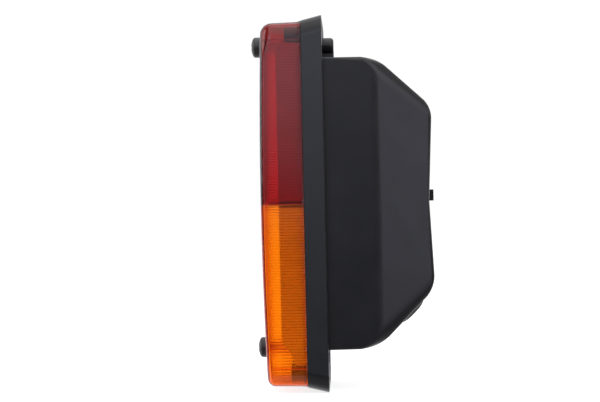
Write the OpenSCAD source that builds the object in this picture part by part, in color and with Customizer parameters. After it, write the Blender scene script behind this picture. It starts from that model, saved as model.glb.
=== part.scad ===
// Tall two-colour rear lamp for a vehicle: stop and tail light above, turn
// signal below. Millimetres. Origin at the centre of the skirt's rear rim,
// lens towards -Y, housing towards +Y, +Z up.

/* [Skirt] */
// Height of the lamp over the skirt's rear rim
lamp_h = 305.2; // [302:0.2:307]
// Width of the lamp over the skirt's rear rim
lamp_w = 130; // [127:1:136]
// Depth of the skirt from its rear rim to the lens seam
skirt_d = 17.4; // [16:0.1:17.5]
// How much wider the rear rim is than the front edge, each side
skirt_flare = 3.8; // [3:0.1:4]
// Corner radius of the skirt seen from the front
skirt_r = 14; // [12:1:18]
// Wall thickness of the black mouldings
wall = 2.5; // [2:0.1:2.8]

/* [Lens] */
// Depth from the rear rim to the lens front at its top and bottom ends
lens_front = 48.9; // [48.5:0.1:49.5]
// Extra bulge of the lens front half way up
crown_z = 2.8; // [2:0.1:2.8]
// Extra bulge of the lens front across its width
crown_x = 3; // [2.8:0.1:3.2]
// Radius where the lens front turns into its top end
lens_end_r = 9; // [8:0.5:10]
// Radius where the lens front turns into its bottom end
lens_low_r = 6.5; // [6:0.5:10]
// Radius where the lens front turns into its long sides
lens_side_r = 3.5; // [3:0.5:5]
// Thickness of the lens wall
lens_wall = 2.5; // [2.2:0.1:2.8]

/* [Housing] */
// Width of the rear housing where it leaves the skirt
housing_w = 112; // [108:1:112]
// How much narrower the housing is at its back, each side
housing_taper = 9; // [7:0.5:10]
// Wall thickness of the housing
housing_wall = 2.5; // [2.2:0.1:2.8]

/* [Lamp parts] */
// Radius of each reflector bowl at its mouth
bowl_r = 50; // [46:1:50]
// Radius of the bulb glass
glass_r = 12.5; // [11:0.5:12.5]
// Height of each bulb above or below the lamp's middle
bulb_z = 57; // [55:1:57]
// Diameter of the cable hole in the grommet
cable_d = 7; // [5:0.5:8]

/* [Hidden] */
$fn = 64;
e = 0.01;

fw = lamp_w - 2*skirt_flare;            // skirt width at its front edge
fh = lamp_h - 2*skirt_flare;            // skirt height at its front edge
lw = fw - 2; lh = fh - 2;               // lens outline at the seam
seam = -skirt_d;                        // y of the lens seam
web_t = 3;
web_back = seam + web_t;                // rear face of the base's web
up_z = 131.9; low_z = -119.1;           // heights of the two lens screws
// face under each screw's seal
function seat(z) = -(lens_front + crown_x) + (z > 0 ? 0 : 0.65);
head_r = 8.5;
col_y = -31;                            // front end of the base's screw columns
ins_y = col_y + 12;                     // rear end of the thread inserts
h_top = 117.9; h_bot = -118.2;          // housing's top and bottom
slope_d = 111.7;                        // lower slope's distance along its normal
lip_y = web_back + 1.2;                 // front of the housing, on its seal
fix_x = 44; fix_z = 134;                // fixing holes behind the skirt
sx_h = 30; sz_h = 121.4;                // housing screws
tray_x = 57; tray_z = 131;              // reflector tray outline
g_c = [28, 68.7, 68.7 - slope_d*sqrt(2)]; // grommet centre on the lower slope
collar_y = -37.5;                       // front edge of the reflectors' collar
tip = 22;                               // apex of the reflector bowls
foc = bowl_r*bowl_r/(4*(tip - seam));   // focal length of the bowls

// ---- helpers ----
module rrect(w, h, r) {
    square([w - 2*r, h], center = true);
    square([w, h - 2*r], center = true);
    for (i = [-1, 1], j = [-1, 1])
        translate([i*(w/2 - r), j*(h/2 - r)]) circle(r);
}
// an outline drawn in X and Z, given depth from y0 to y1
module ext_y(y0, y1) translate([0, y1, 0]) rotate([90, 0, 0])
    linear_extrude(y1 - y0) children();
// a profile turned about an axis along Y; its local +Z points to the front
module turn_y(x, y, z) translate([x, y, z]) rotate([90, 0, 0])
    rotate_extrude() children();
module rod_y(x, z, r, y0, y1) translate([x, y1, z]) rotate([90, 0, 0])
    cylinder(r = r, h = y1 - y0);
module box(x0, x1, y0, y1, z0, z1) translate([x0, y0, z0])
    cube([x1 - x0, y1 - y0, z1 - z0]);

// ---- skirt and base ----
module slice(y, o) ext_y(y, y + e) rrect(fw - 2*o + 2*skirt_flare*(y - seam)/skirt_d,
    fh - 2*o + 2*skirt_flare*(y - seam)/skirt_d, skirt_r - o, $fn = 48);
// outside of the skirt, with its front and rear edges rounded
module skirt_form() hull() {
    for (a = [0:30:90]) {
        slice(seam + 0.8*(1 - cos(a)), 0.8*(1 - sin(a)));
        slice(-e - 0.6*(1 - cos(a)), 0.6*(1 - sin(a)));
    }
}
module skirt_room() hull() {
    slice(web_back, wall);
    slice(e, wall);
}
module end_wall(z0, z1) ext_y(-30.3, seam + e) difference() {
    translate([0, (z0 + z1)/2]) rrect(108, z1 - z0, 5.3);
    translate([0, (z0 + z1)/2]) rrect(104, z1 - z0 - 4, 3.3);
}
module base_frame() color("#2b2b30") difference() {
    union() {
        difference() {
            skirt_form();
            skirt_room();
        }
        end_wall(tray_z, 142.4);
        end_wall(-142.4, -tray_z);
        // columns that hold the inserts of the lens screws
        rod_y(0, up_z, 6.5, col_y, seam + e);
        rod_y(0, low_z, 6.5, col_y, seam + e);
        // turret behind the web at the top, with its rib to the housing
        turn_y(0, 9.1, up_z) {
            translate([0, 2.9]) square([6.7, 9.1 - web_back - 2.9 + e]);
            square([3.8, 9.1 - web_back]);
            translate([3.8, 2.9]) circle(2.9);
        }
        box(-1.5, 1.5, web_back - e, 9.1, 125.6, up_z);
        box(-1.5, 1.5, -8.4, 9.1, h_top + 0.5, 126);
        // bosses for the fixing screws, flush with the rear rim
        for (i = [-1, 1], j = [-1, 1]) {
            rod_y(i*fix_x, j*fix_z, 5, web_back - e, 0);
            box(min(i*fix_x, i*61), max(i*fix_x, i*61),
                web_back - e, -3, j*fix_z - 1, j*fix_z + 1);
            rod_y(i*sx_h, j*sz_h, 3.6, -23, seam + e);
        }
        // stiffening ribs across the end pockets
        for (i = [-1, 1]) {
            box(i*21 - 0.9, i*21 + 0.9, web_back - e, -4, 127, fh/2 + 0.5);
            box(i*21 - 0.9, i*21 + 0.9, web_back - e, -4, -fh/2 - 0.5, -127);
        }
    }
    // opening for the bowls
    ext_y(seam - 1, web_back + 1) translate([0, 1.2]) rrect(105, 221.6, 10);
    // groove for the lens seal
    ext_y(seam - e, seam + 1.2) difference() {
        rrect(lw - 0.8, lh - 0.8, 12.6);
        rrect(lw - 4.6, lh - 4.6, 10.7);
    }
    for (z = [up_z, low_z]) {
        rod_y(0, z, 4, col_y - 1, ins_y);
        rod_y(0, z, 2.8, ins_y - 0.1, ins_y + 1.6);
    }
    for (i = [-1, 1], j = [-1, 1]) {
        rod_y(i*fix_x, j*fix_z, 2.65, web_back - 1.2, 1);
        rod_y(i*sx_h, j*sz_h, 1.45, -21.5, web_back + 1);
    }
    // drain slots in the web at the bottom
    for (i = [-1, 1]) box(i*34 - 3, i*34 + 3, -5, 1, -152, -147);
}

// ---- rear housing: two shallow lumps that meet half way up ----
// a disc with its axis along X and a rounded rim, on each side of the middle
module h_disc(x, y, z, r) for (i = [-1, 1]) translate([i*x, y, z])
    rotate([0, 90, 0]) rotate_extrude($fn = 40) intersection() {
        translate([r - 3, 0]) circle(3, $fn = 12);
        translate([0, -3]) square([r, 6]);
    }
module h_drum(x, y, z, r) translate([-x, y, z]) rotate([0, 90, 0])
    cylinder(r = r, h = 2*x, $fn = 32);
module h_front(o, z0, z1, y0) ext_y(y0, y0 + 1)
    translate([-(housing_w/2 - o), z0]) square([housing_w - 2*o, z1 - z0]);
hx = housing_w/2 - 3;                   // where the side edges start to round
hw = housing_w/2 - housing_wall;
ht = housing_taper; wl = housing_wall;
// the lower slope is square to (0, 1, -1) and touches both discs
low_y = (slope_d - 37.5)*sqrt(2) + h_bot + 37.5;
back_z = 60.4 - (slope_d - 26.7)*sqrt(2);
// each side is flat from the front and bends softly into the taper here,
// as [inset from the flat side, y]
bend = [[0, 37.5], [0.2, 41.5], [0.75, 45.6]];
module upper_lump() hull() {
    h_front(0, -10, h_top, lip_y);
    for (b = bend) {
        h_disc(hx - b[0], 29.9, h_top + 26.9 - b[1], b[1] - 26.9);
        h_disc(hx - b[0], b[1] - 3, -6, 6);
    }
    h_disc(hx - 3.8, 29.9, h_top - 32.5, 32.5);
    h_disc(hx - ht, 65.8, 67.8, 21.5);
    h_disc(hx - ht, 77.9, -6, 6);
}
module upper_room() hull() {
    h_front(wl, -10, h_top - wl, lip_y - e);
    for (b = bend) {
        h_drum(hw - b[0], 29.9, h_top + 26.9 - b[1], b[1] - 26.9 - wl);
        h_drum(hw - b[0], b[1] - 3, -4, 6 - wl);
    }
    h_drum(hw - 3.9, 29.9, h_top - 32.5, 32.5 - wl);
    h_drum(hw - ht, 65.8, 67.8, 21.5 - wl);
    h_drum(hw - ht, 77.9, -4, 6 - wl);
}
module lower_lump() hull() {
    h_front(0, h_bot, 26, lip_y);
    for (b = bend) {
        h_disc(hx - b[0], low_y, h_bot + b[1] + 3 - low_y, b[1] + 3 - low_y);
        h_disc(hx - b[0], b[1] - 3, 20, 6);
    }
    h_disc(hx - 3.7, low_y, h_bot + 37.5, 37.5);
    h_disc(hx - ht, 60.4, back_z, 26.7);
    h_disc(hx - ht, 77.3, 20, 6);
}
module lower_room() hull() {
    h_front(wl, h_bot + wl, 26, lip_y - e);
    for (b = bend) {
        h_drum(hw - b[0], low_y, h_bot + b[1] + 3 - low_y, b[1] + 3 - low_y - wl);
        h_drum(hw - b[0], b[1] - 3, 18, 6 - wl);
    }
    h_drum(hw - 3.7, low_y, h_bot + 37.5, 37.5 - wl);
    h_drum(hw - ht, 60.4, back_z, 26.7 - wl);
    h_drum(hw - ht, 77.3, 18, 6 - wl);
}
module rear_housing() color("#36363c") difference() {
    union() {
        difference() {
            union() {
                upper_lump();
                lower_lump();
            }
            upper_room();
            lower_room();
        }
        // lip that is screwed to the web
        ext_y(lip_y, lip_y + 3) difference() {
            rrect(117, 249.2, 6);
            translate([0, (h_top + h_bot)/2]) square([housing_w - 2*housing_wall,
                                         h_top - h_bot - 2*housing_wall], center = true);
        }
        // arm that carries the terminal block
        box(-6, 6, 66, 84.2, -68.5, -64.5);
    }
    // flat front, on the seal
    box(-70, 70, lip_y - 9, lip_y, -140, 140);
    for (i = [-1, 1], j = [-1, 1])
        rod_y(i*sx_h, j*sz_h, 1.8, lip_y - 1, lip_y + 4);
    // recess for the clip
    box(-9, 9, 83.3, 92, 0.5, 9.8);
    box(-4, 4, 79, 84, 3.1, 7.1);
    // hole for the grommet, square to the lower slope
    translate(g_c) rotate([-135, 0, 0]) translate([0, 0, -7]) cylinder(r = 9, h = 14);
    // hole for the drain plug
    translate([0, 12, h_bot - 1]) cylinder(r = 3, h = 6);
}
module housing_seal() color("#1c1c1e") ext_y(web_back, lip_y) difference() {
    rrect(117, 249.2, 6);
    translate([0, 1.2]) rrect(106, 223, 8);
    for (i = [-1, 1], j = [-1, 1]) translate([i*sx_h, j*sz_h]) circle(1.8);
}
module drain_plug() color("#202022") {
    translate([0, 12, h_bot - 1.2]) cylinder(r = 5, h = 1.2);
    translate([0, 12, h_bot - 0.2]) cylinder(r = 3, h = housing_wall + 0.2);
    translate([0, 12, h_bot + housing_wall]) cylinder(r1 = 3.9, r2 = 2.2, h = 2.4);
}

// ---- lens ----
function front_y(x, z) = -(lens_front + crown_x*(1 - pow(x/(lw/2 - 2), 2))
                           + crown_z*(1 - pow(z/(lh/2 - 4), 2)));
module lens_form(o) hull() {
    ext_y(seam - e, seam) rrect(lw - 2*o, lh - 2*o, 12 - o, $fn = 32);
    // a crowned field of balls: small along the sides, large at the ends
    for (i = [-4:4], j = [-7:7]) {
        x = (lw/2 - 1.8 - lens_side_r)*i/4; z = (lh/2 - 0.6 - lens_end_r)*j/8;
        translate([x, front_y(x, z) + lens_side_r, z])
            sphere(lens_side_r - o, $fn = 20);
    }
    for (i = [-3:3], j = [-1, 1]) {
        r = j > 0 ? lens_end_r : lens_low_r;
        x = (lw/2 - 2.8 - r)*i/3;
        z = j*(lh/2 - 0.6 - r - (abs(i) == 3 ? 1.2 : 0));
        translate([x, front_y(x, z) + r, z]) sphere(r - o, $fn = 28);
    }
}
module lens_shell() difference() {
    union() {
        difference() {
            lens_form(0);
            lens_form(lens_wall);
            ext_y(seam - 1, seam + 1) rrect(lw - 2*lens_wall, lh - 2*lens_wall, 9.5);
        }
        // seats and clear tubes for the lens screws
        for (z = [up_z, low_z]) {
            rod_y(0, z, 9.2, seat(z), -48.2);
            rod_y(0, z, 4.2, seat(z), col_y - 0.3);
        }
    }
    for (z = [up_z, low_z]) {
        rod_y(0, z, 9, -62, seat(z));
        rod_y(0, z, 2.9, -62, col_y);
    }
}
module red_lens() color([0.72, 0.06, 0.08, 0.8]) intersection() {
    lens_shell();
    box(-80, 80, -70, 0, 0, 200);
}
module amber_lens() color([1, 0.45, 0.04, 0.8]) intersection() {
    lens_shell();
    box(-80, 80, -70, 0, -200, 0);
}
module lens_seal() color("#1c1c1e") ext_y(seam, seam + 1.2) difference() {
    rrect(lw - 0.8, lh - 0.8, 12.6);
    rrect(lw - 4.6, lh - 4.6, 10.7);
}

// ---- reflectors ----
function bowl_d(r) = r*r/(4*foc);
module tray(s) {
    zc = s*(tray_z + 1.2)/2;
    th = tray_z - 1.2;
    difference() {
        union() {
            ext_y(seam - 1.6, seam) translate([0, zc]) rrect(2*tray_x - 2, th, 4);
            ext_y(collar_y, seam) difference() {
                translate([0, zc]) rrect(2*tray_x - 2, th, 4);
                translate([0, zc]) rrect(2*tray_x - 5.2, th - 3.2, 2.4);
            }
            // bowl with a true parabolic section
            turn_y(0, tip, s*bulb_z) polygon(concat(
                [for (r = [9.8:2.01:bowl_r + 0.01]) [r, bowl_d(r)]],
                [[bowl_r, tip - seam + 1.6], [bowl_r + 1.6, tip - seam + 1.6]],
                [for (r = [bowl_r:-2.01:9.8]) [r + 1.6, bowl_d(r) - 0.9]]));
            // seat for the bulb holder
            turn_y(0, tip + 2, s*bulb_z) translate([9.8, 0]) square([5.2, 2.6]);
        }
        // mouth and bulb hole
        rod_y(0, s*bulb_z, bowl_r - 0.2, seam - 1.7, seam + 0.6);
        rod_y(0, s*bulb_z, 9.8, tip - 6, tip + 3);
        // the collar sweeps back towards the lamp's lower end
        if (s < 0) translate([-60, 0, 0]) rotate([90, 0, 90]) linear_extrude(120)
            polygon([[collar_y - 1, -108], [collar_y, -109], [-36, -112.5], [-33.6, -116],
                [-30.6, -119.5], [-29, -122.5], [-27.6, -127], [-26.6, -132],
                [-26, -140], [collar_y - 1, -140]]);
        // room for the screw columns and bosses
        rod_y(0, up_z, 8, -50, 0);
        rod_y(0, low_z, 8, -50, 0);
        for (i = [-1, 1], j = [-1, 1]) rod_y(i*sx_h, j*sz_h, 4.2, -50, 0);
        for (i = [-1, 1]) rod_y(i*46, s*116, 1.7, -20, -10);
    }
}
module stop_reflector() color("#c9c9cc") tray(1);
module turn_reflector() color("#c9c9cc") tray(-1);
module light_divider() color("#e6e6e6") union() {
    box(-54, 54, -46, seam, -0.9, 0.9);
    box(-tray_x + 1, tray_x - 1, collar_y, seam, -0.9, 0.9);
    box(-51, 51, seam - e, 20, -0.9, 0.9);
}
module reflector_screws() color("#b8b8bc")
    for (i = [-1, 1], j = [-1, 1]) {
        rod_y(i*46, j*116, 1.6, seam - 1.6 - e, seam + 0.01);
        rod_y(i*46, j*116, 3, seam - 3.4, seam - 1.6);
    }

// ---- bulbs and what feeds them ----
module bulb(s) turn_y(0, 36, s*bulb_z) {
    square([7.4, 17]);
    translate([0, 16.9]) square([6.2, 4]);
    translate([0, 30]) intersection() {
        circle(glass_r);
        translate([0, -20]) square([20, 40]);
    }
}
module stop_tail_bulb() color([0.9, 0.9, 0.9]) bulb(1);
module turn_bulb() color([0.95, 0.8, 0.5]) bulb(-1);
module holder(s) turn_y(0, 0, s*bulb_z) {
    translate([7.5, -42]) square([1.5, 24]);
    translate([7.5, -25.2]) square([7.5, 1.2]);
}
module stop_bulb_holder() color("#b9b3a2") holder(1);
module turn_bulb_holder() color("#b9b3a2") holder(-1);
module contact_plate(s, xs) difference() {
    rod_y(0, s*bulb_z, 7.5, 37.4, 39.4);
    for (x = xs) rod_y(x, s*bulb_z, 1.2, 36, 41);
}
module stop_contact_plate() color("#7a4a2a") contact_plate(1, [-3.5, 3.5]);
module turn_contact_plate() color("#7a4a2a") contact_plate(-1, [0]);
module pin(x, z) {
    rod_y(x, z, 2, 36, 37.4);
    rod_y(x, z, 1.2, 37.3, 43);
}
module contact_pins() color("#c8a24a") {
    pin(-3.5, bulb_z);
    pin(3.5, bulb_z);
    pin(0, -bulb_z);
}
module stop_feed_strip() color("#c8a24a") {
    box(-18, -1.5, 43, 43.8, bulb_z - 2.5, bulb_z + 2.5);
    box(-18, -13, 43, 43.8, -62, bulb_z);
    box(-18, -13, 43, 54, -62.8, -62);
}
module tail_feed_strip() color("#c8a24a") {
    box(1.5, 18, 43, 43.8, bulb_z - 2.5, bulb_z + 2.5);
    box(13, 18, 43, 43.8, -62, bulb_z);
    box(13, 18, 43, 54, -62.8, -62);
}
module turn_feed_strip() color("#c8a24a") {
    box(-2.5, 2.5, 43, 43.8, -62, -bulb_z + 2.5);
    box(-2.5, 2.5, 43, 54, -62.8, -62);
}
module earth_strip() color("#b8b8bc") {
    box(-14.5, -9.6, 25.2, 26, -bulb_z - 3, bulb_z + 3);
    box(-30, -9.6, 25.2, 26, -48, -43);
    box(-30, -26, 25.2, 58, -48, -47.2);
    box(-30, -26, 57.2, 58, -62, -47.2);
    box(-30, -24, 57.2, 58, -62.8, -62);
}
module terminal_block() color("#d8d4c8") difference() {
    box(-24, 24, 54, 66, -70, -57);
    for (x = [-15.5, 0, 15.5]) rod_y(x, -66.5, 2.2, 50, 70);
    for (x = [-15.5, 0, 15.5]) translate([x, 60, -66]) cylinder(r = 1.6, h = 20);
}
module terminal_screws() color("#a8a49a") for (x = [-15.5, 0, 15.5]) {
    translate([x, 60, -62]) cylinder(r = 1.5, h = 5);
    translate([x, 60, -57]) cylinder(r = 2.6, h = 1.8);
}

// ---- trim and fasteners ----
// local +Z of the grommet points out of the housing
module cable_grommet() color("#161618") translate(g_c) rotate([-135, 0, 0])
    rotate_extrude() difference() {
        union() {
            translate([0, -housing_wall]) square([9, housing_wall + 1]);
            // low dome that covers the hole
            polygon([[0, 0], [13, 0], [12.9, 0.5], [12.3, 1.1], [11.2, 1.7],
                [9.6, 2.2], [7.5, 2.6], [5, 2.8], [0, 2.8]]);
            translate([0, -housing_wall - 2]) square([10.8, 2]);
        }
        translate([-1, -10]) square([cable_d/2 + 1, 20]);
        // wider behind the outer lip that grips the cable
        translate([-1, -10]) square([cable_d/2 + 2.1, 9.8]);
    }
module rear_clip() color("#101012") difference() {
    union() {
        box(-9, 9, 83.3, 89.4, 0.5, 9.8);
        box(-4, 4, 81, 83.4, 3.1, 7.1);
    }
    box(-6, 6, 86.4, 90, 3.6, 6.7);
}
module lens_screw(z) difference() {
    turn_y(0, seat(z) - 0.8, z) union() {
        square([head_r, 3.8]);
        // domed crown, a quarter of an ellipse over the head
        polygon(concat([[0, 3.7]], [for (a = [90:-7.5:0])
            [head_r*sin(a), 3.8 + 3.4*cos(a)]]));
        translate([0, seat(z) - 0.8 - ins_y - 1])
            square([2.4, ins_y + 1 - seat(z) + 0.81]);
    }
    // cross recess
    for (a = [0, 90]) translate([0, seat(z) - 5.3, z]) rotate([0, a, 0])
        translate([-4.2, -4, -0.9]) cube([8.4, 4, 1.8]);
}
module upper_lens_screw() color("#3a383b") lens_screw(up_z);
module lower_lens_screw() color("#3a383b") lens_screw(low_z);
module screw_seals() color("#1c1c1e") for (z = [up_z, low_z])
    turn_y(0, seat(z), z) translate([2.6, 0]) square([5.2, 0.8]);
module thread_inserts() color("#c8a24a") for (z = [up_z, low_z])
    turn_y(0, ins_y, z) translate([2.45, 0]) square([1.55, 12]);
module housing_screws() color("#9a9aa0")
    for (i = [-1, 1], j = [-1, 1]) {
        rod_y(i*sx_h, j*sz_h, 1.4, -20.5, lip_y + 3.1);
        rod_y(i*sx_h, j*sz_h, 3, lip_y + 3, lip_y + 5.2);
    }

base_frame();
rear_housing();
red_lens();
amber_lens();
lens_seal();
housing_seal();
stop_reflector();
turn_reflector();
light_divider();
stop_tail_bulb();
turn_bulb();
stop_bulb_holder();
turn_bulb_holder();
stop_contact_plate();
turn_contact_plate();
contact_pins();
stop_feed_strip();
tail_feed_strip();
turn_feed_strip();
earth_strip();
terminal_block();
terminal_screws();
cable_grommet();
rear_clip();
upper_lens_screw();
lower_lens_screw();
screw_seals();
thread_inserts();
housing_screws();
reflector_screws();
drain_plug();
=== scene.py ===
import bpy, bmesh, math
import numpy as np
from mathutils import Matrix, Vector


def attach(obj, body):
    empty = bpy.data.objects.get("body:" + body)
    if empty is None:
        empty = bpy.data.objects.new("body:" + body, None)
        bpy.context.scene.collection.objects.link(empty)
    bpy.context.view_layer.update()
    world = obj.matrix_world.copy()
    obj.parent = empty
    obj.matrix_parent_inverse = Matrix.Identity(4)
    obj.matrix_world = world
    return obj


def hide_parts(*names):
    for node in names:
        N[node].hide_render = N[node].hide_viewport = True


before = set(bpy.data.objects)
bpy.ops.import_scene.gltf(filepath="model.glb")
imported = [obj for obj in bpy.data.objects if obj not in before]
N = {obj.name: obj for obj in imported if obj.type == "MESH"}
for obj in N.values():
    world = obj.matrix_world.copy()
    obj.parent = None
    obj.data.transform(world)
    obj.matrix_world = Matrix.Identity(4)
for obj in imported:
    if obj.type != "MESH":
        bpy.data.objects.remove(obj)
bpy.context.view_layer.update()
MM = 0.001

# ------------------------------------------------------------------ camera
CAM_Y, CAM_Z = 20.3, 2.6
YAW, ROLL = math.radians(1.66), math.radians(1.295)
cam_data = bpy.data.cameras.new("camera")
cam = bpy.data.objects.new("camera", cam_data)
bpy.context.scene.collection.objects.link(cam)
cam_data.sensor_width = 36.0
cam_data.sensor_fit = "HORIZONTAL"
cam_data.lens = 1741.0 * 36.0 / 600.0
cam_data.clip_end = 60.0
fwd = Vector((-math.cos(YAW), -math.sin(YAW), 0.0))
rot = fwd.to_track_quat("-Z", "Y").to_matrix().to_4x4()
cam.matrix_world = (Matrix.Translation(Vector((1458, CAM_Y, CAM_Z)) * MM)
                    @ rot @ Matrix.Rotation(-ROLL, 4, "Z"))
bpy.context.scene.camera = cam

# ------------------------------------------------------------------ materials
def new_mat(name):
    m = bpy.data.materials.new(name)
    m.use_nodes = True
    nt = m.node_tree
    nt.nodes.clear()
    out = nt.nodes.new("ShaderNodeOutputMaterial")
    p = nt.nodes.new("ShaderNodeBsdfPrincipled")
    nt.links.new(p.outputs[0], out.inputs[0])
    return m, nt, p, out


def noise(nt, scale, detail=3.0, rough=0.5, vec=None):
    n = nt.nodes.new("ShaderNodeTexNoise")
    n.inputs["Scale"].default_value = scale
    n.inputs["Detail"].default_value = detail
    n.inputs["Roughness"].default_value = rough
    if vec is not None:
        nt.links.new(vec, n.inputs["Vector"])
    return n.outputs["Fac"]


def coords(nt):
    return nt.nodes.new("ShaderNodeTexCoord").outputs["Object"]


def ramp(nt, fac, a, b, p0=0.35, p1=0.65):
    r = nt.nodes.new("ShaderNodeValToRGB")
    r.color_ramp.elements[0].position, r.color_ramp.elements[1].position = p0, p1
    r.color_ramp.elements[0].color = (*a, 1) if len(a) == 3 else a
    r.color_ramp.elements[1].color = (*b, 1) if len(b) == 3 else b
    nt.links.new(fac, r.inputs[0])
    return r.outputs[0]


def span(nt, fac, lo, hi):
    r = nt.nodes.new("ShaderNodeMapRange")
    r.inputs["From Min"].default_value, r.inputs["From Max"].default_value = 0.3, 0.7
    r.inputs["To Min"].default_value, r.inputs["To Max"].default_value = lo, hi
    nt.links.new(fac, r.inputs["Value"])
    return r.outputs[0]


def bump(nt, p, height, strength, dist):
    b = nt.nodes.new("ShaderNodeBump")
    b.inputs["Strength"].default_value = strength
    b.inputs["Distance"].default_value = dist
    nt.links.new(height, b.inputs["Height"])
    nt.links.new(b.outputs[0], p.inputs["Normal"])
    return b


def plastic(name, a, b, rough, grain=900.0, depth=0.00006, strength=0.35, spec=0.5, blotch=28.0):
    """Moulded plastic: a fine spark-eroded grain, slight blotches in colour and gloss."""
    m, nt, p, _ = new_mat(name)
    v = coords(nt)
    big = noise(nt, blotch, 4.0, 0.6, v)
    fine = noise(nt, grain, 2.0, 0.6, v)
    nt.links.new(ramp(nt, big, a, b), p.inputs["Base Color"])
    nt.links.new(span(nt, big, rough[0], rough[1]), p.inputs["Roughness"])
    p.inputs["Specular IOR Level"].default_value = spec
    bump(nt, p, fine, strength, depth)
    return m


def metal(name, a, b, rough, scale=300.0, strength=0.15, metallic=1.0):
    m, nt, p, _ = new_mat(name)
    v = coords(nt)
    big = noise(nt, 40.0, 4.0, 0.6, v)
    fine = noise(nt, scale, 3.0, 0.6, v)
    nt.links.new(ramp(nt, big, a, b), p.inputs["Base Color"])
    nt.links.new(span(nt, big, rough[0], rough[1]), p.inputs["Roughness"])
    p.inputs["Metallic"].default_value = metallic
    bump(nt, p, fine, strength, 0.00005)
    return m


def m_math(nt, op, a, b=None):
    n = nt.nodes.new("ShaderNodeMath")
    n.operation = op
    for i, v in enumerate((a, b)):
        if v is None:
            continue
        if isinstance(v, (int, float)):
            n.inputs[i].default_value = v
        else:
            nt.links.new(v, n.inputs[i])
    return n.outputs[0]


def paint_groove_shade(nt, v, at, pitch, groove_shade_tint):
    """Painted shade: a darker tint in the bottoms of the grooves between the flutes inside the side walls,
    faint towards the front and stronger near the base."""
    xyz = nt.nodes.new("ShaderNodeSeparateXYZ")
    nt.links.new(v, xyz.inputs[0])
    f = m_math(nt, "FRACT", m_math(nt, "DIVIDE", m_math(nt, "ABSOLUTE", xyz.outputs[2]), pitch))
    w = m_math(nt, "ABSOLUTE", m_math(nt, "SUBTRACT", m_math(nt, "MULTIPLY", f, 2.0), 1.0))

    def step(val, lo, hi, a=0.0, b=1.0):
        n = nt.nodes.new("ShaderNodeMapRange")
        n.interpolation_type = "SMOOTHSTEP"
        for k, q in (("From Min", lo), ("From Max", hi), ("To Min", a), ("To Max", b)):
            n.inputs[k].default_value = q
        nt.links.new(val, n.inputs["Value"])
        return n.outputs[0]
    m = step(w, 0.45, 1.0)
    for part in (at, step(m_math(nt, "ABSOLUTE", xyz.outputs[0]), 0.049, 0.051),
                 step(xyz.outputs[1], -0.0395, -0.0365, 0.16, 1.0)):
        m = m_math(nt, "MULTIPLY", m, part)
    mix = nt.nodes.new("ShaderNodeMix")
    mix.data_type = "RGBA"
    nt.links.new(m, mix.inputs[0])
    mix.inputs[7].default_value = (*groove_shade_tint, 1)
    return mix


def tinted(name, absorb, density, rough=0.04, ior=1.49, tint=(1, 1, 1), inside=None, groove_shade_tint=None):
    """Clear coloured plastic: the colour comes from the thickness that light goes through.
    The face attribute "inside" marks the duller surface of the optics on the inner side."""
    m, nt, p, out = new_mat(name)
    v = coords(nt)
    wave = noise(nt, 90.0, 3.0, 0.55, v)
    base = ramp(nt, wave, tuple(0.97 * c for c in tint), tint)
    nt.links.new(base, p.inputs["Base Color"])
    gloss = span(nt, wave, rough * 0.7, rough * 1.3)
    if inside:
        at = nt.nodes.new("ShaderNodeAttribute")
        at.attribute_name = "inside"
        ma = nt.nodes.new("ShaderNodeMath")
        ma.operation = "MULTIPLY_ADD"
        nt.links.new(at.outputs["Fac"], ma.inputs[0])
        ma.inputs[1].default_value = inside - rough
        nt.links.new(gloss, ma.inputs[2])
        gloss = ma.outputs[0]
        # painted shade: the groove bottoms between the inner flutes get a darker tint
        if groove_shade_tint:
            mix = paint_groove_shade(nt, v, at.outputs["Fac"], 0.00225, groove_shade_tint)
            nt.links.new(base, mix.inputs[6])
            nt.links.new(mix.outputs[2], p.inputs["Base Color"])
    nt.links.new(gloss, p.inputs["Roughness"])
    p.inputs["IOR"].default_value = ior
    p.inputs["Transmission Weight"].default_value = 1.0
    vol = nt.nodes.new("ShaderNodeVolumeAbsorption")
    vol.inputs["Color"].default_value = (*absorb, 1)
    vol.inputs["Density"].default_value = density
    nt.links.new(vol.outputs[0], out.inputs["Volume"])
    return m


def two_tone(m, mask, a, b, rough):
    """Give a plastic a second colour and gloss where the mask is 1."""
    nt = m.node_tree
    p = next(n for n in nt.nodes if n.type == "BSDF_PRINCIPLED")
    v = coords(nt)
    big = noise(nt, 35.0, 4.0, 0.6, v)
    for name, new in (("Base Color", ramp(nt, big, a, b)), ("Roughness", span(nt, big, *rough))):
        old = p.inputs[name].links[0].from_socket
        mix = nt.nodes.new("ShaderNodeMix")
        mix.data_type = "RGBA" if name == "Base Color" else "FLOAT"
        k = (6, 7, 2) if name == "Base Color" else (2, 3, 0)
        nt.links.new(mask, mix.inputs[0])
        nt.links.new(old, mix.inputs[k[0]])
        nt.links.new(new, mix.inputs[k[1]])
        nt.links.new(mix.outputs[k[2]], p.inputs[name])
    return p


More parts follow.
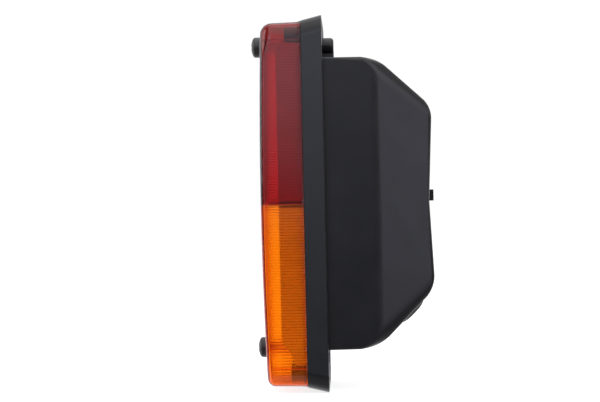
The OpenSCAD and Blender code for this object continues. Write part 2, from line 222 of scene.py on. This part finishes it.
def skirt_inside_painted_light(m):
    """Mask of the skirt's inner side, where a paler grey is painted as light glancing off the black plastic, from the
    distance to its outer face.
    """
    nt = m.node_tree
    xyz = nt.nodes.new("ShaderNodeSeparateXYZ")
    nt.links.new(coords(nt), xyz.inputs[0])
    flare = m_math(nt, "MULTIPLY", m_math(nt, "ADD", xyz.outputs[1], 0.0174), 0.2184)
    def over(axis, start):
        d = m_math(nt, "SUBTRACT", m_math(nt, "ABSOLUTE", xyz.outputs[axis]), start)
        return m_math(nt, "MAXIMUM", m_math(nt, "SUBTRACT", d, flare), 0.0)
    qx, qz = over(0, 0.0472), over(2, 0.1348)
    r = m_math(nt, "SQRT", m_math(nt, "ADD", m_math(nt, "MULTIPLY", qx, qx), m_math(nt, "MULTIPLY", qz, qz)))
    inner = m_math(nt, "LESS_THAN", r, 0.0128)
    behind = m_math(nt, "GREATER_THAN", xyz.outputs[1], -0.01435)
    aside = m_math(nt, "GREATER_THAN", m_math(nt, "ABSOLUTE", xyz.outputs[0]), 0.0095)
    return m_math(nt, "MULTIPLY", m_math(nt, "MULTIPLY", inner, behind), aside)


M = {
    "base": plastic("base_plastic", (0.0055, 0.0055, 0.0065), (0.0080, 0.0080, 0.0095), (0.27, 0.34),
                    grain=1100, strength=0.16, spec=0.42),
    "housing": plastic("housing_plastic", (0.0050, 0.0050, 0.0060), (0.0072, 0.0072, 0.0086), (0.28, 0.36),
                       grain=800, strength=0.40, depth=0.00006, spec=0.42),
    "clip": plastic("clip_plastic", (0.004, 0.004, 0.004), (0.007, 0.007, 0.008), (0.45, 0.55), spec=0.35),
    "rubber": plastic("black_rubber", (0.008, 0.008, 0.009), (0.013, 0.013, 0.014), (0.50, 0.62),
                      grain=600, strength=0.4, spec=0.4),
    "screw": plastic("dark_screw_coat", (0.017, 0.014, 0.016), (0.032, 0.027, 0.031), (0.32, 0.44),
                     grain=700, strength=0.25, spec=0.5),
    "white": plastic("white_plastic", (0.62, 0.62, 0.61), (0.70, 0.70, 0.69), (0.4, 0.5)),
    "cream": plastic("cream_plastic", (0.52, 0.49, 0.40), (0.60, 0.57, 0.47), (0.4, 0.5)),
    "brown": plastic("brown_laminate", (0.12, 0.05, 0.02), (0.20, 0.09, 0.035), (0.4, 0.55)),
    "mirror": metal("metallised", (0.66, 0.66, 0.68), (0.74, 0.74, 0.76), (0.16, 0.24)),
    "steel": metal("plated_steel", (0.50, 0.50, 0.47), (0.62, 0.61, 0.57), (0.28, 0.42)),
    "brass": metal("brass", (0.55, 0.38, 0.13), (0.66, 0.48, 0.19), (0.25, 0.4)),
    # the last colour of each lens is painted shade in the grooves between its inner flutes
    "red": tinted("red_lens_plastic", (0.904, 0.06, 0.08), 2000.0, inside=0.25, groove_shade_tint=(0.86, 0.75, 0.75)),
    "amber": tinted("amber_lens_plastic", (0.997, 0.814, 0.03), 1600.0, inside=0.25, groove_shade_tint=(0.45, 0.25, 0.2)),
    "silver": metal("silver_lacquer", (0.85, 0.85, 0.86), (0.92, 0.92, 0.93), (0.30, 0.42), metallic=0.2),
    "glass": tinted("bulb_glass", (0.9, 0.9, 0.9), 10.0, rough=0.01, ior=1.3),
}
# painted light: the skirt's inner side gets a paler grey that stands in for light glancing off it
two_tone(M["base"], skirt_inside_painted_light(M["base"]), (0.42, 0.42, 0.43), (0.48, 0.48, 0.49), (0.45, 0.55))
# the lens screws have a plated shank under their dark head
nt_s = M["screw"].node_tree
xyz_s = nt_s.nodes.new("ShaderNodeSeparateXYZ")
nt_s.links.new(coords(nt_s), xyz_s.inputs[0])
shank = m_math(nt_s, "GREATER_THAN", xyz_s.outputs[1], -0.0512)
p_s = two_tone(M["screw"], shank, (0.55, 0.55, 0.53), (0.64, 0.64, 0.61), (0.25, 0.35))
nt_s.links.new(shank, p_s.inputs["Metallic"])


# painted light: a paler grey on the frame's collar at its lower end, inside the amber lens, lifts that shaded corner
nt_b = M["base"].node_tree
xyz_b = nt_b.nodes.new("ShaderNodeSeparateXYZ")
nt_b.links.new(coords(nt_b), xyz_b.inputs[0])
low_end = nt_b.nodes.new("ShaderNodeMapRange")
low_end.interpolation_type = "SMOOTHSTEP"
low_end.inputs["From Min"].default_value, low_end.inputs["From Max"].default_value = 0.120, 0.132
nt_b.links.new(m_math(nt_b, "MULTIPLY", xyz_b.outputs[2], -1.0), low_end.inputs["Value"])
low_end_painted_light = m_math(nt_b, "MULTIPLY", low_end.outputs[0], m_math(nt_b, "LESS_THAN", xyz_b.outputs[1], -0.0176))
# the paler grey here is painted light on the collar's shaded lower end
two_tone(M["base"], low_end_painted_light, (0.24, 0.24, 0.24), (0.32, 0.32, 0.32), (0.35, 0.45))


def dress(name, mat):
    o = N[name]
    o.data.materials.clear()
    o.data.materials.append(mat)
    return o


for node, mat in {
    "lens_seal": "rubber", "housing_seal": "rubber", "stop_reflector": "silver",
    "turn_reflector": "silver", "light_divider": "white", "stop_tail_bulb": "glass",
    "turn_bulb": "glass", "stop_bulb_holder": "steel", "turn_bulb_holder": "steel",
    "stop_contact_plate": "brown", "turn_contact_plate": "brown", "contact_pins": "brass",
    "stop_feed_strip": "brass", "tail_feed_strip": "brass", "turn_feed_strip": "brass",
    "earth_strip": "steel", "terminal_block": "cream", "terminal_screws": "steel",
    "cable_grommet": "rubber", "rear_clip": "clip", "upper_lens_screw": "screw",
    "lower_lens_screw": "screw", "screw_seals": "rubber", "thread_inserts": "brass",
    "housing_screws": "steel", "reflector_screws": "steel", "drain_plug": "rubber",
    "base_frame": "base", "rear_housing": "housing", "red_lens": "red", "amber_lens": "amber",
}.items():
    dress(node, M[mat])

# ------------------------------------------------------------------ mesh helpers
def piece(name, verts, faces, mat, smooth=35.0):
    me = bpy.data.meshes.new(name)
    me.from_pydata([tuple(v) for v in verts], [], faces)
    me.update()
    o = bpy.data.objects.new(name, me)
    bpy.context.scene.collection.objects.link(o)
    if mat is not None:
        me.materials.append(mat)
    bm = bmesh.new()
    bm.from_mesh(me)
    bmesh.ops.remove_doubles(bm, verts=bm.verts, dist=1e-7)
    bmesh.ops.recalc_face_normals(bm, faces=bm.faces)
    bm.to_mesh(me)
    bm.free()
    shade(o, smooth)
    return o


def shade(o, angle):
    me = o.data
    for p in me.polygons:
        p.use_smooth = True
    bm = bmesh.new()
    bm.from_mesh(me)
    lim = math.radians(angle)
    for e in bm.edges:
        e.smooth = not (len(e.link_faces) == 2 and e.calc_face_angle(0.0) > lim)
    bm.to_mesh(me)
    bm.free()


def boolean(o, other, op):
    mod = o.modifiers.new("b", "BOOLEAN")
    mod.object = other
    mod.operation = op
    mod.solver = "MANIFOLD"
    dg = bpy.context.evaluated_depsgraph_get()
    me = bpy.data.meshes.new_from_object(o.evaluated_get(dg))
    o.modifiers.remove(mod)
    old = o.data
    o.data = me
    bpy.data.meshes.remove(old)


def drop(o):
    me = o.data
    bpy.data.objects.remove(o)
    bpy.data.meshes.remove(me)


def rod(x, z, r, y0, y1, seg=48):
    """A closed cylinder along Y, in mm."""
    a = np.linspace(0, 2 * np.pi, seg, endpoint=False)
    ring = [(x + r * math.cos(t), z + r * math.sin(t)) for t in a]
    v = [(p[0] * MM, y0 * MM, p[1] * MM) for p in ring] + [(p[0] * MM, y1 * MM, p[1] * MM) for p in ring]
    f = [tuple(range(seg)), tuple(range(2 * seg - 1, seg - 1, -1))]
    f += [(i, (i + 1) % seg, seg + (i + 1) % seg, seg + i) for i in range(seg)]
    return piece("rod", v, f, None, 30)


def block(x0, x1, y0, y1, z0, z1):
    v = [(x * MM, y * MM, z * MM) for x in (x0, x1) for y in (y0, y1) for z in (z0, z1)]
    f = [(0, 1, 3, 2), (4, 6, 7, 5), (0, 4, 5, 1), (2, 3, 7, 6), (0, 2, 6, 4), (1, 5, 7, 3)]
    return piece("block", v, f, None, 30)


def tilted_rod(centre, axis, r, a, b, seg=64):
    """A closed cylinder about an axis through a point, from a to b along it, in mm."""
    o = rod(0, 0, r, a, b, seg)
    q = Vector((0, 1, 0)).rotation_difference(Vector(axis).normalized())
    o.data.transform(Matrix.Translation(Vector(centre) * MM) @ q.to_matrix().to_4x4())
    return o


def disc_pts(x, y, z, r, edge=3.0, n=120, m=7):
    """Points of a disc across X with a rounded rim, on both sides of the middle."""
    out = []
    for i in (-1, 1):
        for k in range(n):
            a = 2 * math.pi * k / n
            for j in range(m):
                b = -math.pi / 2 + math.pi * j / (m - 1) if edge else (-1 if j else 1) * 1e-9
                rr = r - edge + edge * math.cos(b)
                out.append((i * (x + edge * math.sin(b)), y + rr * math.cos(a), z + rr * math.sin(a)))
    return out


def hull_of(name, pts, mat):
    bm = bmesh.new()
    for p in pts:
        bm.verts.new((p[0] * MM, p[1] * MM, p[2] * MM))
    bmesh.ops.remove_doubles(bm, verts=bm.verts, dist=2e-6)
    res = bmesh.ops.convex_hull(bm, input=list(bm.verts), use_existing_faces=False)
    loose = [v for v in bm.verts if not v.link_faces]
    bmesh.ops.delete(bm, geom=loose, context="VERTS")
    bmesh.ops.recalc_face_normals(bm, faces=bm.faces)
    me = bpy.data.meshes.new(name)
    bm.to_mesh(me)
    bm.free()
    o = bpy.data.objects.new(name, me)
    bpy.context.scene.collection.objects.link(o)
    if mat is not None:
        me.materials.append(mat)
    return o


def cut(o, *tools):
    for t in tools:
        boolean(o, t, "DIFFERENCE")
        drop(t)


def add(o, *tools):
    for t in tools:
        boolean(o, t, "UNION")
        drop(t)


def even_normals(o, angle=35.0):
    """Flat faces stay flat and only the rounded edges turn."""
    shade(o, angle)
    w = o.modifiers.new("normals", "WEIGHTED_NORMAL")
    w.keep_sharp = True
    w.weight = 80


# ------------------------------------------------------------------ rear housing
H_TOP, H_BOT, LIP_Y, HW, TAPER, HWALL = 117.9, -118.2, -13.2, 56.0, 9.0, 2.5
SLOPE = 111.7
LOW_Y = (SLOPE - 37.5) * math.sqrt(2) + H_BOT + 37.5
BACK_Z = 60.4 - (SLOPE - 26.7) * math.sqrt(2)


def front_pts(half, z0, z1, y):
    return [(i * half, y, z) for i in (-1, 1) for z in (z0, z1)] + [
        (i * half, y + 1, z) for i in (-1, 1) for z in (z0, z1)]


# where each side bends from flat into the taper, as (inset, y)
BEND = [(0.0, 37.5), (0.06, 39.5), (0.2, 41.5), (0.43, 43.6), (0.75, 45.6)]


def lumps(wall):
    e = 3.0 - wall if wall == 0 else 0.4
    x = HW - 3.0 if wall == 0 else HW - HWALL - 0.4
    y = LIP_Y - (0.01 if wall else 0)
    up = (front_pts(HW - wall, -10, H_TOP - wall, y)
          + disc_pts(x - 3.9, 29.9, H_TOP - 32.5, 32.5 - wall, e)
          + disc_pts(x - TAPER, 65.8, 67.8, 21.5 - wall, e) + disc_pts(x - TAPER, 77.9, -6 + wall, 6 - wall, e))
    lo = (front_pts(HW - wall, H_BOT + wall, 26, y)
          + disc_pts(x - 3.8, LOW_Y, H_BOT + 37.5, 37.5 - wall, e)
          + disc_pts(x - TAPER, 60.4, BACK_Z, 26.7 - wall, e) + disc_pts(x - TAPER, 77.3, 20 - wall, 6 - wall, e))
    for inset, yb in BEND:
        r = yb - 26.9
        up += disc_pts(x - inset, 29.9, H_TOP - r, r - wall, e) + disc_pts(x - inset, yb - 3, -6 + wall, 6 - wall, e)
        r = yb + 3 - LOW_Y
        lo += disc_pts(x - inset, LOW_Y, H_BOT + r, r - wall, e) + disc_pts(x - inset, yb - 3, 20 - wall, 6 - wall, e)
    return up, lo


up, lo = lumps(0.0)
housing = hull_of("rear_housing_moulding", up, M["housing"])
add(housing, hull_of("t", lo, None))
iu, il = lumps(HWALL)
cut(housing, hull_of("t", iu, None), hull_of("t", il, None))
cut(housing, block(-70, 70, LIP_Y - 9, LIP_Y, -140, 140))
lip = block(-58.5, 58.5, LIP_Y, LIP_Y + 3, -124.6, 124.6)
cut(lip, block(-HW + HWALL, HW - HWALL, LIP_Y - 1, LIP_Y + 4, H_BOT + HWALL, H_TOP - HWALL))
add(housing, lip)
for i in (-1, 1):
    for j in (-1, 1):
        cut(housing, rod(i * 30, j * 121.4, 1.8, LIP_Y - 1, LIP_Y + 4, 24))
G_C = (28.0, 68.7, 68.7 - SLOPE * math.sqrt(2))
SLOPE_N = (0.0, math.sqrt(0.5), -math.sqrt(0.5))
cut(housing, block(-9, 9, 83.3, 92, 0.5, 9.8), block(-4, 4, 79, 84, 3.1, 7.1),
    tilted_rod(G_C, SLOPE_N, 9.0, -7, 7), tilted_rod((0, 12, H_BOT + 2), (0, 0, 1), 3.0, -3, 3, 32))
even_normals(housing, 40)
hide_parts("rear_housing")
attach(housing, "root")

# ------------------------------------------------------------------ lens halves
LW2, LH2 = 60.2, 147.8          # half outline at the seam
CX, CZ = 48.2, 135.8            # where the corners start
SEAM, FRONT = -17.4, -48.9
CROWN_X, CROWN_Z = 3.0, 2.8
SIDE_A, END_A = 10.2, 11.4      # the corner's radius at the front, towards side and end
SIDE_R, END_R, LOW_R = 3.5, 9.0, 6.5    # how round the front's long, top and bottom edges are


def crown(x, z):
    return CROWN_X * (1 - (x / (LW2 - 2)) ** 2) + CROWN_Z * (1 - (z / (LH2 - 4)) ** 2)


def lens_profile(wall, a_out, edge):
    """(radius from the corner's centre, y) from the flat of the front to the seam."""
    pts = [(0.0, FRONT + wall)]
    r0 = a_out - edge
    for k in range(0, 9):
        t = math.radians(90 * k / 8)
        pts.append((r0 + (edge - wall) * math.sin(t), FRONT + edge - (edge - wall) * math.cos(t)))
    y_a, y_b = FRONT + edge, SEAM
    end = 12.0 - wall
    a = a_out - wall
    if wall == 0:
        stops = [0.25, 0.5, 0.75, 0.95, 0.99]
        tail = [(SEAM - 2.3, 0.0), (SEAM - 1.9, 0.25), (SEAM - 1.6, 0.5),
                (SEAM - 0.6, 0.6), (SEAM - 0.2, 0.5), (SEAM, 0.3)]
    else:
        stops = [0.2, 0.4, 0.6, 0.8, 0.9, 0.97]
        tail = [(SEAM, 0.0)]
    for s in stops:
        y = y_a + s * (SEAM - 2.3 - y_a if wall == 0 else y_b - y_a)
        pts.append((a + (end - a) * (y - y_a) / (y_b - y_a), y))
    for y, step in tail:
        pts.append((a + (end - a) * (y - y_a) / (y_b - y_a) + step, y))
    return pts


def lens_grid(sign, wall, xs, zs, move=None):
    """Rows of points over half the lens: across the width, from the split to the end."""
    n = len(lens_profile(wall, SIDE_A, SIDE_R)) - 1
    end_r = END_R if sign > 0 else LOW_R
    cols = [("L", n - i) for i in range(n)] + [("F", x) for x in xs] + [("R", i + 1) for i in range(n)]
    rows = [("F", z) for z in zs] + [("E", i + 1) for i in range(n)]
    grid = []
    for rk, rv in rows:
        line = []
        for ck, cv in cols:
            i = cv if ck in "LR" else 0
            j = rv if rk == "E" else 0
            sx = -1 if ck == "L" else 1
            s = max(i, j)
            if i and j:
                t = (math.pi / 4) * (j / i) if i >= j else math.pi / 2 - (math.pi / 4) * (i / j)
                edge, a_out = end_r, SIDE_A + (END_A - SIDE_A) * math.sin(t) ** 2
            elif j:
                edge, a_out = end_r, END_A
            else:
                u = min(1.0, max(0.0, (rv - 118.0) / (CZ - 118.0)))
                edge, a_out = SIDE_R + (end_r - SIDE_R) * u * u * (3 - 2 * u), SIDE_A
            r, y = lens_profile(wall, a_out, edge)[s]
            if i and j:
                x, z = sx * (CX + r * math.cos(t)), CZ + r * math.sin(t)
                nx, nz = sx * math.cos(t), math.sin(t)
            elif i:
                x, z, nx, nz = sx * (CX + r), rv, sx, 0
            elif j:
                x, z, nx, nz = cv, CZ + r, 0, 1
            else:
                x, z, nx, nz = cv, rv, 0, 0
            fade = min(1.0, max(0.0, (SEAM - y) / (SEAM - FRONT - 7.5)))
            yy = y - crown(x, z) * fade
            if move:
                x, yy, z = move(x, yy, z, y, nx, nz, i, j)
            line.append((x * MM, yy * MM, sign * z * MM))
        grid.append(line)
    return grid


def zipper(a, b, pa, pb):
    """Triangles between two open chains of vertex numbers with different counts."""
    def lengths(p):
        d = [0.0]
        for u, w in zip(p, p[1:]):
            d.append(d[-1] + math.dist(u, w))
        return [x / d[-1] for x in d]
    la, lb = lengths(pa), lengths(pb)
    i = j = 0
    out = []
    while i < len(a) - 1 or j < len(b) - 1:
        if j == len(b) - 1 or (i < len(a) - 1 and la[i + 1] <= lb[j + 1]):
            out.append((a[i], a[i + 1], b[j]))
            i += 1
        else:
            out.append((a[i], b[j + 1], b[j]))
            j += 1
    return out


RIB, RIB_D = 2.25, 0.18
PIL, PIL_D = 5.4, 0.55


def cell(u, pitch):
    w = (u / pitch) % 1.0
    w = 2 * w - 1
    return 1 - w * w


def inner_move(x, yy, z, y, nx, nz, i, j):
    if not i and not j:          # pillow optics behind the front
        edge = min(1.0, max(0.0, (CX - abs(x)) / 1.5)) * min(1.0, max(0.0, (CZ - z) / 1.5))
        yy += PIL_D * edge * (cell(x, PIL) * cell(z, PIL) - 0.2)
    elif abs(nx) > 0.2 and y > FRONT + 4:   # flutes inside the side walls
        d = RIB_D * abs(nx) * cell(z, RIB) * min(1.0, (y - FRONT - 4) / 2.0)
        if 131.7 < z < 132.9:               # groove where the end zone starts
            d = -1.0
        x -= math.copysign(d, nx)
    return x, yy, z


def lens_half(name, sign, mat):
    xo = np.linspace(-CX, CX, 25)
    zo = np.append(0.02, np.linspace(0, CZ, 61)[1:])
    n_x = int(round(2 * CX / PIL)) * 6
    xi = np.linspace(-CX, CX, n_x + 1)
    zi = np.arange(0, CZ + 0.01, RIB / 6)
    zi = np.append(zi[:-1], CZ)
    zi[0] = 0.02
    go = lens_grid(sign, 0.0, xo, zo)
    gi = lens_grid(sign, 2.5, xi, zi, inner_move)
    verts, faces = [], []

    def sheet(g):
        base = len(verts)
        w = len(g[0])
        for line in g:
            verts.extend(line)
        for r in range(len(g) - 1):
            for c in range(w - 1):
                k = base + r * w + c
                faces.append((k, k + 1, k + w + 1, k + w))
        idx = lambda r, c: base + r * w + c
        split = [idx(0, c) for c in range(w)]
        rim = ([idx(r, 0) for r in range(len(g))] + [idx(len(g) - 1, c) for c in range(1, w)]
               + [idx(r, w - 1) for r in range(len(g) - 2, -1, -1)])
        return split, rim
    so, ro = sheet(go)
    outside = len(faces)
    si, ri = sheet(gi)
    inside = len(faces)
    for a, b in ((so, si), (ro, ri)):
        faces.extend(zipper(a, b, [verts[k] for k in a], [verts[k] for k in b]))
    o = piece(name, verts, faces, mat, 40)
    o.data.materials.append(mat)
    limit = {tuple(round(c, 7) for c in v) for v in verts[:len(go) * len(go[0])]}
    for p in o.data.polygons:
        if all(tuple(round(c, 7) for c in o.data.vertices[k].co) not in limit for k in p.vertices):
            p.material_index = 1
    return o


red = lens_half("red_lens_moulding", 1, M["red"])
amber = lens_half("amber_lens_moulding", -1, M["amber"])
for o, node, z, seat in ((red, "red_lens", 131.9, -51.9), (amber, "amber_lens", -119.1, -51.25)):
    add(o, rod(0, z, 9.2, seat, -48.2), rod(0, z, 4.2, seat, -31.3))
    cut(o, rod(0, z, 9.0, -62, seat), rod(0, z, 2.9, -62, -30))
    flag = o.data.attributes.new("inside", "FLOAT", "FACE")
    for k, p in enumerate(o.data.polygons):
        flag.data[k].value = float(p.material_index)
        p.material_index = 0
    while len(o.data.materials) > 1:
        o.data.materials.pop(index=len(o.data.materials) - 1)
    shade(o, 40)
    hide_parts(node)
    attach(o, "root")

# ------------------------------------------------------------------ floor, backdrop and light
fl = bpy.data.meshes.new("floor")
s = 9.0
fl.from_pydata([(-s, -s, 0), (0.42, -s, 0), (0.42, s, 0), (-s, s, 0)], [], [(0, 1, 2, 3)])
floor = bpy.data.objects.new("floor", fl)
floor.location = (0, 0, -0.1528)
bpy.context.scene.collection.objects.link(floor)
fm, nt, p, _ = new_mat("floor_paper")
v = coords(nt)
g = noise(nt, 60.0, 4.0, 0.6, v)
nt.links.new(ramp(nt, g, (0.55, 0.55, 0.55), (0.57, 0.57, 0.57)), p.inputs["Base Color"])
p.inputs["Roughness"].default_value = 0.9
p.inputs["Specular IOR Level"].default_value = 0.1
p.inputs["Emission Color"].default_value = (1, 1, 1, 1)
p.inputs["Emission Strength"].default_value = 0.80
fl.materials.append(fm)
floor.visible_glossy = False
floor.visible_diffuse = False

world = bpy.data.worlds.new("studio")
bpy.context.scene.world = world
world.use_nodes = True
wt = world.node_tree
wt.nodes.clear()
wo = wt.nodes.new("ShaderNodeOutputWorld")
bg_cam = wt.nodes.new("ShaderNodeBackground")
bg_cam.inputs[0].default_value = (1, 1, 1, 1)
bg_cam.inputs[1].default_value = 1.05
bg_env = wt.nodes.new("ShaderNodeBackground")
tc = wt.nodes.new("ShaderNodeTexCoord")
sep = wt.nodes.new("ShaderNodeSeparateXYZ")
wt.links.new(tc.outputs["Generated"], sep.inputs[0])
norm = wt.nodes.new("ShaderNodeVectorMath")
norm.operation = "NORMALIZE"
wt.links.new(tc.outputs["Generated"], norm.inputs[0])


def w_math(op, a, b=None, clamp=False):
    n = wt.nodes.new("ShaderNodeMath")
    n.operation = op
    n.use_clamp = clamp
    for i, v in enumerate((a, b)):
        if v is None:
            continue
        if isinstance(v, (int, float)):
            n.inputs[i].default_value = v
        else:
            wt.links.new(v, n.inputs[i])
    return n.outputs[0]


def w_step(v, lo, hi):
    n = wt.nodes.new("ShaderNodeMapRange")
    n.interpolation_type = "SMOOTHSTEP"
    n.inputs["From Min"].default_value, n.inputs["From Max"].default_value = lo, hi
    wt.links.new(v, n.inputs["Value"])
    return n.outputs[0]


def w_color(fac, color):
    n = wt.nodes.new("ShaderNodeVectorMath")
    n.operation = "SCALE"
    n.inputs[0].default_value = color
    wt.links.new(fac, n.inputs["Scale"])
    return n.outputs[0]


def w_add(a, b):
    n = wt.nodes.new("ShaderNodeVectorMath")
    n.operation = "ADD"
    wt.links.new(a, n.inputs[0])
    wt.links.new(b, n.inputs[1])
    return n.outputs[0]


def panel(az0, az1, el0, el1, soft, low, high, color):
    """An upright panel between two azimuths (from +X towards +Y) and two heights, and how
    many degrees each of its edges fades over, either way."""
    az = w_math("ARCTAN2", sep_n.outputs["Y"], sep_n.outputs["X"])
    el = sep_n.outputs["Z"]
    r = math.radians
    m = w_math("MULTIPLY", w_step(az, r(az0 - soft), r(az0 + soft)),
               w_math("SUBTRACT", 1.0, w_step(az, r(az1 - soft), r(az1 + soft))))
    h = w_math("MULTIPLY", w_step(el, math.sin(r(el0 - low)), math.sin(r(el0 + low))),
               w_math("SUBTRACT", 1.0, w_step(el, math.sin(r(el1 - high)), math.sin(r(el1 + high)))))
    return w_color(w_math("MULTIPLY", m, h), color)


def rgb(c, k):
    return tuple(k * v for v in c)


sep_n = wt.nodes.new("ShaderNodeSeparateXYZ")
wt.links.new(norm.outputs[0], sep_n.inputs[0])
S_BACK, S_WIDE, S_SKY, S_DIM, S_LOW = 1.0, 0.60, 0.34, 0.07, 0.42
S_LEFT, S_MID, S_RIGHT, S_FRONT = 2.1, 1.12, 1.95, 0.9
P_TOP, P_FRONT, P_BACK, P_HIGH = 6.0, 6.0, 6.0, 22.0
minus_x = w_math("MULTIPLY", sep_n.outputs["X"], -1.0)
narrow = w_step(minus_x, 0.62, 0.86)
wide = w_math("SUBTRACT", w_step(minus_x, -0.05, 0.45), narrow)
env = w_add(w_color(narrow, rgb((1, 1, 1), S_BACK)), w_color(wide, rgb((1, 1, 1), S_WIDE)))
env = w_add(env, w_color(w_step(sep_n.outputs["Z"], 0.30, 0.95), rgb((1, 1, 1.03), S_SKY)))
env = w_add(env, w_color(w_step(w_math("MULTIPLY", sep_n.outputs["Z"], -1.0), 0.22, 0.55), rgb((1, 1, 1.04), S_LOW)))
dim = wt.nodes.new("ShaderNodeCombineXYZ")
for k in range(3):
    dim.inputs[k].default_value = rgb((1.0, 1.03, 1.15), S_DIM)[k]
env = w_add(env, dim.outputs[0])
env = w_add(env, panel(-125, -78, -35, 35, 8, 8, 8, rgb((1.0, 1.0, 1.0), S_FRONT)))
env = w_add(env, panel(-41, -22, 1, 20, 4, 7, 9, rgb((0.94, 1.0, 1.2), S_LEFT)))
env = w_add(env, panel(-24, 6, 1.5, 13, 3, 3.5, 4, rgb((0.97, 0.98, 1.13), S_MID)))
env = w_add(env, panel(20, 41, -9, 20, 4, 6, 9, rgb((0.96, 0.96, 1.16), S_RIGHT)))
wt.links.new(env, bg_env.inputs[0])
bg_env.inputs[1].default_value = 1.0
lp = wt.nodes.new("ShaderNodeLightPath")
mx = wt.nodes.new("ShaderNodeMixShader")
wt.links.new(lp.outputs["Is Camera Ray"], mx.inputs[0])
wt.links.new(bg_env.outputs[0], mx.inputs[1])
wt.links.new(bg_cam.outputs[0], mx.inputs[2])
wt.links.new(mx.outputs[0], wo.inputs[0])


def area(name, loc, target, size, power, color=(1, 1, 1)):
    ld = bpy.data.lights.new(name, "AREA")
    ld.shape = "RECTANGLE"
    ld.size, ld.size_y = size
    ld.energy = power
    ld.color = color
    lo = bpy.data.objects.new(name, ld)
    lo.location = loc
    d = Vector(target) - Vector(loc)
    lo.rotation_euler = d.to_track_quat("-Z", "Y").to_euler()
    bpy.context.scene.collection.objects.link(lo)
    return lo


area("top_box", (-0.2, 0.1, 1.6), (0, 0, 0), (1.4, 1.4), P_TOP)
area("front_box", (0.3, -1.5, 0.6), (0, 0, 0), (0.9, 1.2), P_FRONT)
area("back_box", (0.2, 1.6, 0.6), (0, 0, 0), (0.9, 1.2), P_BACK)
area("high_box", (1.0, 0.15, 1.25), (0, 0, 0), (2.2, 2.2), P_HIGH)

sc = bpy.context.scene
sc.view_settings.view_transform = "Standard"
sc.view_settings.look = "None"
sc.cycles.max_bounces = 40
sc.cycles.transmission_bounces = 36
sc.cycles.glossy_bounces = 6
sc.cycles.diffuse_bounces = 4
sc.cycles.transparent_max_bounces = 12
sc.cycles.sample_clamp_indirect = 6.0
sc.cycles.use_denoising = True
sc.cycles.caustics_reflective = True
sc.cycles.caustics_refractive = True
